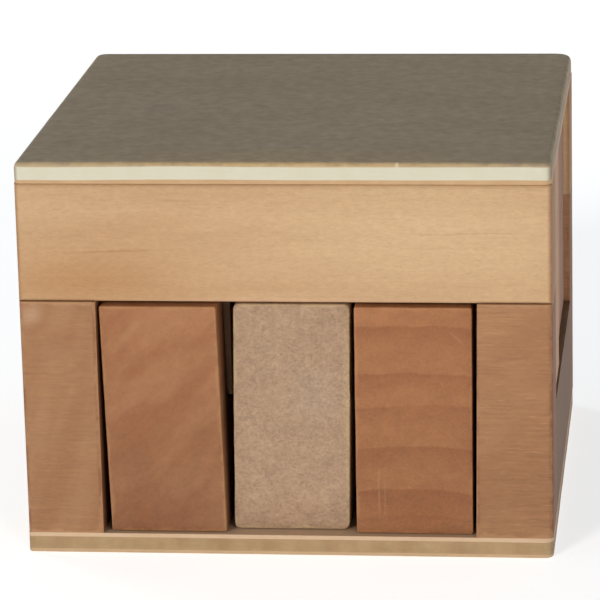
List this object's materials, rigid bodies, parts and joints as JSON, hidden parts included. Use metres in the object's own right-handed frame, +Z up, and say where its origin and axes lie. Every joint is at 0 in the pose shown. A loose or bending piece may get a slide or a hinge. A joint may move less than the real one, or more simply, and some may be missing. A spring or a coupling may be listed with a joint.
{
  "type": "wooden puzzle box",
  "caption": "Square wooden burr box: a glued cage with plywood top and base, holding crossed sliding sticks that interlock; the plain key stick slides out first.",
  "frame": {"origin": "middle of the underside, on the surface that the box stands on", "axes": "+Z up; the front, with the low window that shows the key stick, faces -Y; +X to the right seen from the front"},
  "size_m": [0.09, 0.09, 0.0687],
  "materials": {
    "top_face_veneer": "matte grey-brown face veneer",
    "plate_veneer": "matte tan veneer",
    "top_core": "matte cream poplar core",
    "bottom_core": "matte tan core",
    "rail_wood": "sanded light wood, long grain",
    "sill_wood": "sanded light brown wood",
    "post_wood": "sanded warm brown wood, end grain in front",
    "stick_wood": "sanded reddish brown wood",
    "key_wood": "sawn pale wood"
  },
  "bodies": {
    "cage": {"bottom_plate_outer_veneer": "plate_veneer", "bottom_plate_core": "bottom_core", "bottom_plate_inner_veneer": "plate_veneer", "front_left_post": "post_wood", "front_right_post": "post_wood", "back_left_post": "post_wood", "back_right_post": "post_wood", "left_sill": "sill_wood", "right_sill": "sill_wood", "front_rail": "rail_wood", "back_rail": "rail_wood", "top_plate_inner_veneer": "plate_veneer", "top_plate_core": "top_core", "top_plate_outer_veneer": "top_face_veneer"},
    "lower_stick_left": {"lower_stick_left": "stick_wood"},
    "key_stick": {"key_stick": "key_wood"},
    "lower_stick_right": {"lower_stick_right": "stick_wood"},
    "upper_stick_front": {"upper_stick_front": "stick_wood"},
    "upper_stick_middle": {"upper_stick_middle": "stick_wood"},
    "upper_stick_back": {"upper_stick_back": "stick_wood"}
  },
  "joints": [
    {"name": "key_slide", "type": "slide", "parent": "cage", "child": "key_stick", "axis": [0, -1, 0], "range_m": [-0.0741, 0.0767]},
    {"name": "lower_left_slide", "type": "slide", "parent": "cage", "child": "lower_stick_left", "axis": [0, -1, 0], "range_m": [-0.00333, 0.00183]},
    {"name": "lower_right_slide", "type": "slide", "parent": "cage", "child": "lower_stick_right", "axis": [0, -1, 0], "range_m": [-0.00303, 0.00213]},
    {"name": "upper_front_slide", "type": "slide", "parent": "cage", "child": "upper_stick_front", "axis": [1, 0, 0], "range_m": [-0.00205, 0.0013]},
    {"name": "upper_middle_slide", "type": "slide", "parent": "cage", "child": "upper_stick_middle", "axis": [1, 0, 0], "range_m": [-0.00135, 0.002]},
    {"name": "upper_back_slide", "type": "slide", "parent": "cage", "child": "upper_stick_back", "axis": [1, 0, 0], "range_m": [-0.00125, 0.0021]}
  ]
}
